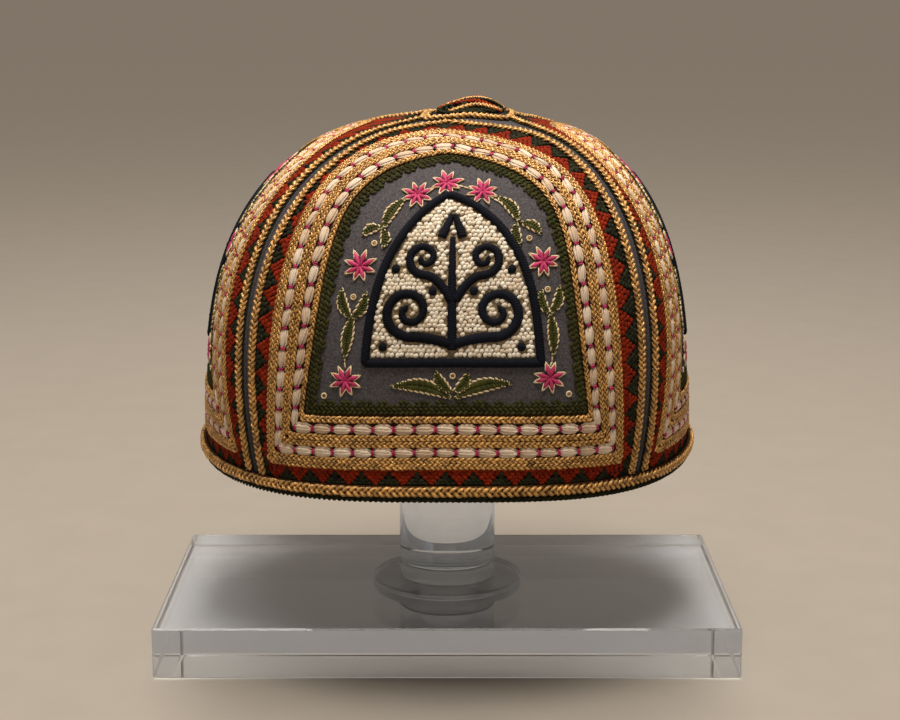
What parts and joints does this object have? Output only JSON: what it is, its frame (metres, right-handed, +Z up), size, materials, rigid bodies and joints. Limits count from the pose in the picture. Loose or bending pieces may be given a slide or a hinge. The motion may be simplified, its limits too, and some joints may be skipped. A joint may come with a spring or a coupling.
{
  "type": "dervish cap on acrylic stand",
  "caption": "Close-fitting felt cap of gores with braided seams, a braided rim and raised embroidered arches, carried by the post of a clear acrylic display stand.",
  "frame": {"origin": "middle of the stand's underside", "axes": "+Z up, +X to the viewer's right along the slab's long side, the cap's shown panel faces -Y"},
  "size_m": [0.203, 0.179, 0.1955],
  "materials": {
    "felt": "grey wool felt",
    "gold_thread": "gold silk chain braid",
    "band_thread": "gold, ivory and pink couched thread",
    "ecru_thread": "ecru knotted thread with navy cord",
    "dark_cord": "dark green twisted cord",
    "rust_cord": "rust wool thread",
    "acrylic": "clear polished acrylic"
  },
  "bodies": {
    "root": {"panel_front": "felt", "arch_band_front": "band_thread", "cartouche_front": "ecru_thread", "seam_braid_front_l": "gold_thread", "seam_braid_front_r": "gold_thread", "panel_right": "felt", "arch_band_right": "band_thread", "cartouche_right": "ecru_thread", "seam_braid_right_l": "gold_thread", "seam_braid_right_r": "gold_thread", "panel_back": "felt", "arch_band_back": "band_thread", "cartouche_back": "ecru_thread", "seam_braid_back_l": "gold_thread", "seam_braid_back_r": "gold_thread", "panel_left": "felt", "arch_band_left": "band_thread", "cartouche_left": "ecru_thread", "seam_braid_left_l": "gold_thread", "seam_braid_left_r": "gold_thread", "rim_braid": "gold_thread", "rim_cord": "dark_cord", "crown_knot": "rust_cord", "base_slab": "acrylic", "post_flange": "acrylic", "post": "acrylic"}
  },
  "joints": []
}
